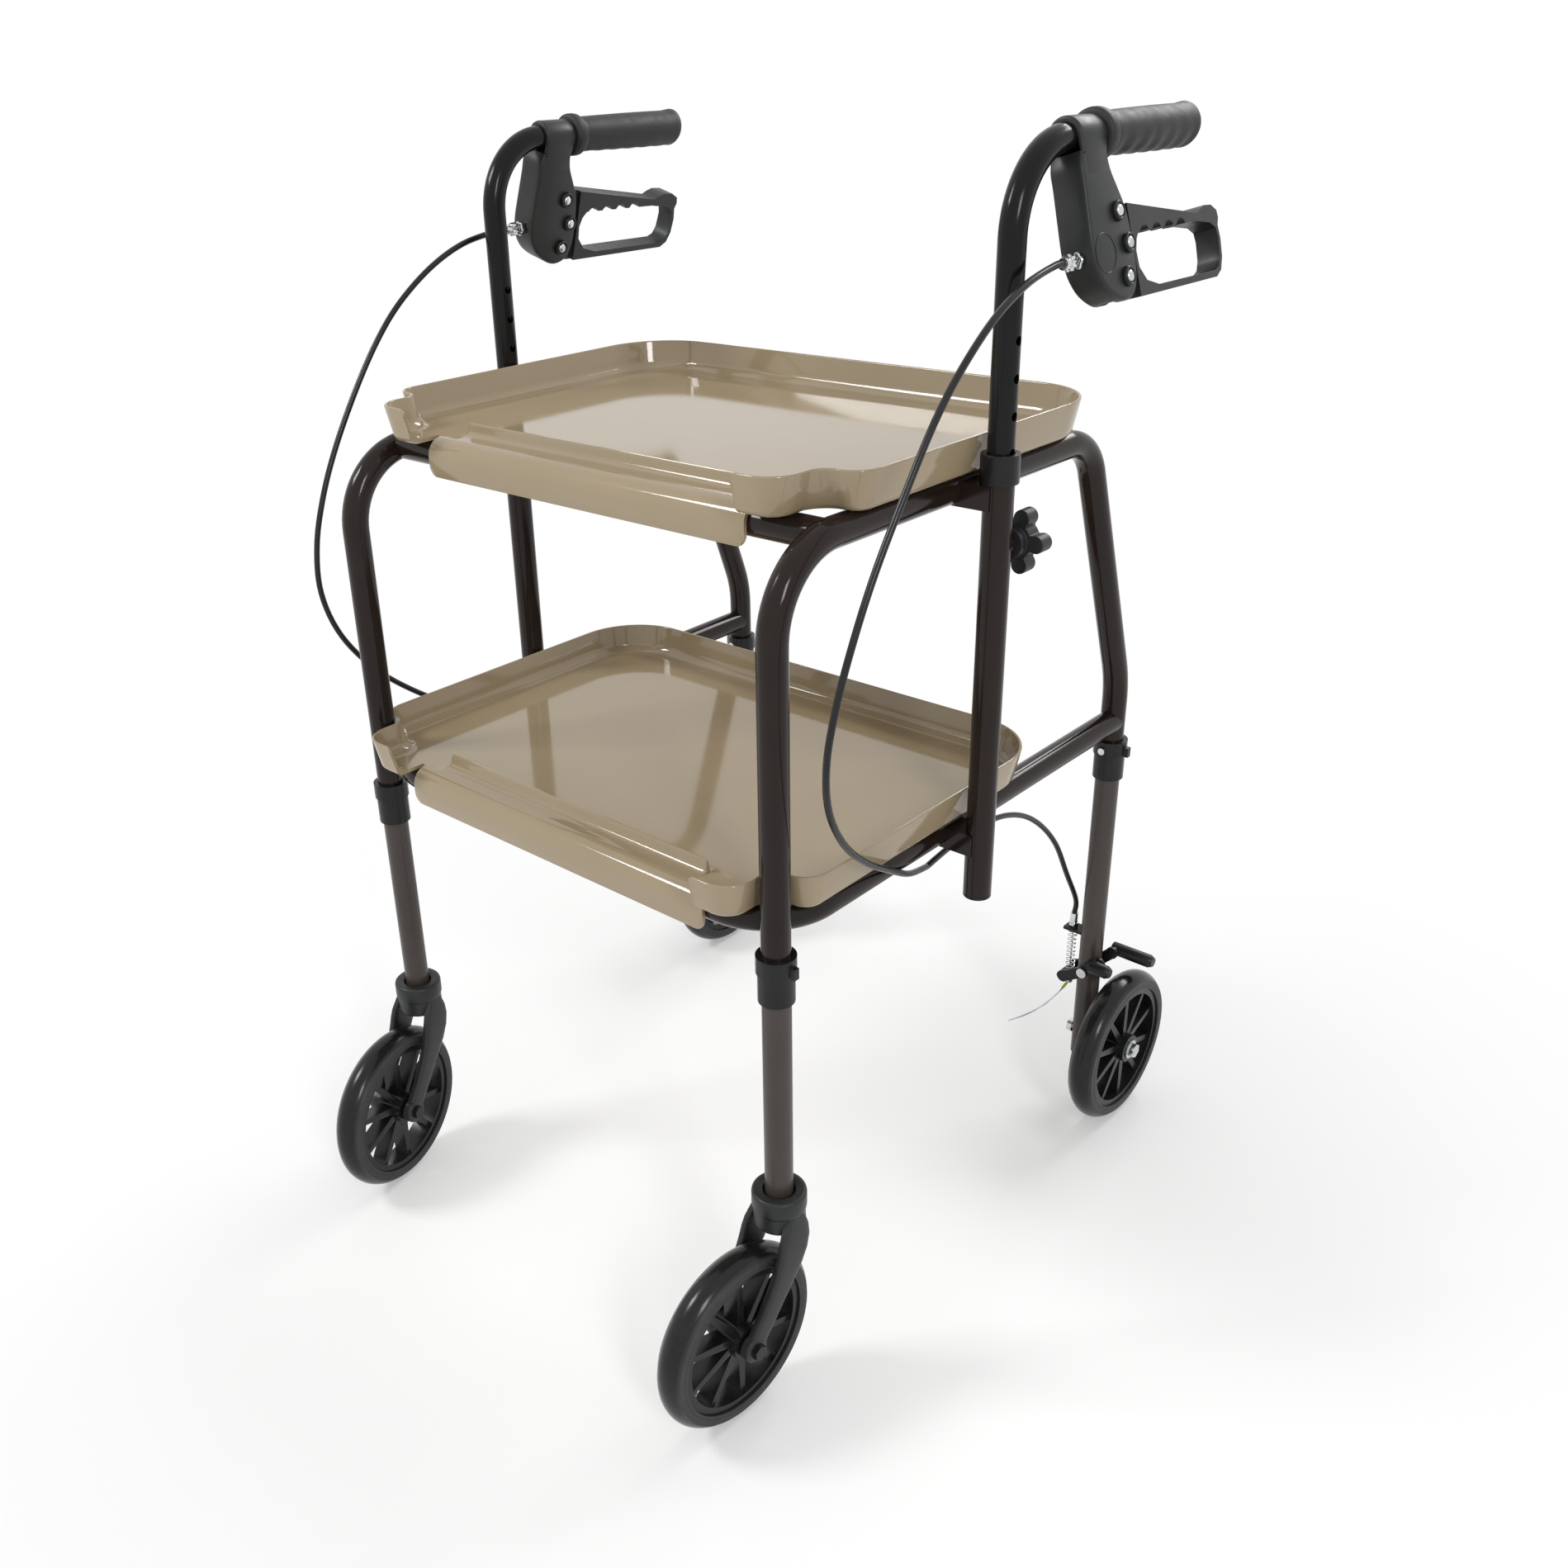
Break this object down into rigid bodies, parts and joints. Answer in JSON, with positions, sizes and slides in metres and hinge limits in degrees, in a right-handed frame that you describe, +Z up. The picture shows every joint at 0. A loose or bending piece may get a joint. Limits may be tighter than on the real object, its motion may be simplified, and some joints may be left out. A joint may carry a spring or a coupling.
{
  "type": "indoor walker with tray",
  "caption": "Wheeled indoor walker: bent tube frame with stacked lift-out trays, swivelling front casters, braked rear wheels and height-adjustable handles with loop brake levers.",
  "frame": {"origin": "on the floor, below the middle of the walker's outline", "axes": "+Z up, -Y to the front of the walker, where the casters are, +Y to the user who walks behind it, +X to the side that is nearer in the picture"},
  "size_m": [0.6056, 0.6823, 0.9325],
  "materials": {
    "frame_paint": "satin dark brown",
    "handle_paint": "satin black",
    "black_plastic": "fine grained black",
    "grip_rubber": "matt black",
    "tyre_rubber": "matt dark grey",
    "wheel_plastic": "black",
    "steel": "bright zinc",
    "tray_plastic": "semi-gloss tan",
    "cable_black": "smooth black"
  },
  "bodies": {
    "frame": {"side_frame_right": "frame_paint", "side_frame_left": "frame_paint", "front_cross_tube": "frame_paint", "lower_frame": "frame_paint", "socket_tube_right": "frame_paint", "socket_tube_left": "frame_paint", "socket_brackets": "frame_paint", "tube_caps": "black_plastic", "leg_collars": "black_plastic", "front_leg_right": "frame_paint", "front_leg_left": "frame_paint", "rear_leg_right": "frame_paint", "rear_leg_left": "frame_paint", "caster_stems": "steel", "rear_axles": "steel", "cable_upper_right": "cable_black", "cable_upper_left": "cable_black", "cable_lower_right": "cable_black", "cable_lower_left": "cable_black", "cable_stops": "frame_paint", "barrel_adjusters": "steel", "brake_spring_right": "steel", "brake_spring_left": "steel", "brake_pivots": "steel"},
    "caster_right": {"fork_right": "black_plastic", "front_axle_right": "steel"},
    "front_wheel_right": {"front_rim_right": "wheel_plastic", "front_tyre_right": "tyre_rubber"},
    "rear_wheel_right": {"rear_rim_right": "wheel_plastic", "rear_tyre_right": "tyre_rubber"},
    "handle_right": {"handle_tube_right": "handle_paint", "grip_right": "grip_rubber", "brake_housing_right": "black_plastic", "housing_bolts_right": "steel", "cable_adjuster_right": "steel"},
    "lever_right": {"brake_lever_right": "black_plastic"},
    "brake_right": {"brake_arm_right": "black_plastic", "cable_tail_right": "steel"},
    "knob_right": {"knob_right": "black_plastic"},
    "leg_button_front_right": {"leg_button_front_right": "steel"},
    "leg_button_rear_right": {"leg_button_rear_right": "steel"},
    "caster_left": {"fork_left": "black_plastic", "front_axle_left": "steel"},
    "front_wheel_left": {"front_rim_left": "wheel_plastic", "front_tyre_left": "tyre_rubber"},
    "rear_wheel_left": {"rear_rim_left": "wheel_plastic", "rear_tyre_left": "tyre_rubber"},
    "handle_left": {"handle_tube_left": "handle_paint", "grip_left": "grip_rubber", "brake_housing_left": "black_plastic", "housing_bolts_left": "steel", "cable_adjuster_left": "steel"},
    "lever_left": {"brake_lever_left": "black_plastic"},
    "brake_left": {"brake_arm_left": "black_plastic", "cable_tail_left": "steel"},
    "knob_left": {"knob_left": "black_plastic"},
    "leg_button_front_left": {"leg_button_front_left": "steel"},
    "leg_button_rear_left": {"leg_button_rear_left": "steel"},
    "upper_tray": {"upper_tray": "tray_plastic"},
    "lower_tray": {"lower_tray": "tray_plastic"}
  },
  "joints": [
    {"name": "caster_right_swivel", "type": "hinge", "parent": "frame", "child": "caster_right", "pos_m": [0.225, -0.21175, 0.165], "axis": [0, 0, 1], "continuous": true},
    {"name": "front_wheel_right_spin", "type": "hinge", "parent": "caster_right", "child": "front_wheel_right", "pos_m": [0.22225, -0.26418, 0.077], "axis": [0.9986, -0.0523, 0], "continuous": true},
    {"name": "rear_wheel_right_spin", "type": "hinge", "parent": "frame", "child": "rear_wheel_right", "pos_m": [0.261, 0.26425, 0.077], "axis": [1, 0, 0], "continuous": true},
    {"name": "handle_right_height", "type": "slide", "parent": "frame", "child": "handle_right", "axis": [0, 0, 1], "range_m": [-0.075, 0.05], "deforming": ["cable_upper_right"]},
    {"name": "brake_lever_right_squeeze", "type": "hinge", "parent": "handle_right", "child": "lever_right", "pos_m": [0.2734, 0.08016, 0.86477], "axis": [0.9613, 0, 0.2756], "range_deg": [0, 12], "stiffness_Nm_per_rad": 2, "springref_deg": -17.19},
    {"name": "brake_arm_right_pivot", "type": "hinge", "parent": "frame", "child": "brake_right", "pos_m": [0.225, 0.26425, 0.152], "axis": [0, 1, 0], "range_deg": [0, 14], "deforming": ["brake_spring_right"]},
    {"name": "knob_right_turn", "type": "hinge", "parent": "frame", "child": "knob_right", "pos_m": [0.259, 0.01875, 0.65], "axis": [0, 1, 0], "continuous": true},
    {"name": "leg_button_front_right_press", "type": "slide", "parent": "frame", "child": "leg_button_front_right", "axis": [0, -1, 0], "range_m": [0, 0.004], "stiffness_N_per_m": 600, "springref_m": -0.003},
    {"name": "leg_button_rear_right_press", "type": "slide", "parent": "frame", "child": "leg_button_rear_right", "axis": [0, 1, 0], "range_m": [0, 0.004], "stiffness_N_per_m": 600, "springref_m": -0.003},
    {"name": "caster_left_swivel", "type": "hinge", "parent": "frame", "child": "caster_left", "pos_m": [-0.225, -0.21175, 0.165], "axis": [0, 0, 1], "continuous": true},
    {"name": "front_wheel_left_spin", "type": "hinge", "parent": "caster_left", "child": "front_wheel_left", "pos_m": [-0.2123, -0.26269, 0.077], "axis": [0.9703, 0.2419, 0], "continuous": true},
    {"name": "rear_wheel_left_spin", "type": "hinge", "parent": "frame", "child": "rear_wheel_left", "pos_m": [-0.261, 0.26425, 0.077], "axis": [1, 0, 0], "continuous": true},
    {"name": "handle_left_height", "type": "slide", "parent": "frame", "child": "handle_left", "axis": [0, 0, 1], "range_m": [-0.075, 0.05], "deforming": ["cable_upper_left"]},
    {"name": "brake_lever_left_squeeze", "type": "hinge", "parent": "handle_left", "child": "lever_left", "pos_m": [-0.2734, 0.08016, 0.86477], "axis": [0.9613, 0, -0.2756], "range_deg": [0, 12], "stiffness_Nm_per_rad": 2, "springref_deg": -17.19},
    {"name": "brake_arm_left_pivot", "type": "hinge", "parent": "frame", "child": "brake_left", "pos_m": [-0.225, 0.26425, 0.152], "axis": [0, -1, 0], "range_deg": [0, 14], "deforming": ["brake_spring_left"]},
    {"name": "knob_left_turn", "type": "hinge", "parent": "frame", "child": "knob_left", "pos_m": [-0.259, 0.01875, 0.65], "axis": [0, 1, 0], "continuous": true},
    {"name": "leg_button_front_left_press", "type": "slide", "parent": "frame", "child": "leg_button_front_left", "axis": [0, -1, 0], "range_m": [0, 0.004], "stiffness_N_per_m": 600, "springref_m": -0.003},
    {"name": "leg_button_rear_left_press", "type": "slide", "parent": "frame", "child": "leg_button_rear_left", "axis": [0, 1, 0], "range_m": [0, 0.004], "stiffness_N_per_m": 600, "springref_m": -0.003},
    {"name": "upper_tray_lift", "type": "slide", "parent": "frame", "child": "upper_tray", "axis": [0, 0, 1], "range_m": [0, 0.1]},
    {"name": "lower_tray_lift", "type": "slide", "parent": "frame", "child": "lower_tray", "axis": [0, 0, 1], "range_m": [0, 0.1]}
  ],
  "couplings": [
    {"joint": "brake_arm_right_pivot", "follows": "brake_lever_right_squeeze", "ratio": 1.15},
    {"joint": "brake_arm_left_pivot", "follows": "brake_lever_left_squeeze", "ratio": 1.15}
  ]
}
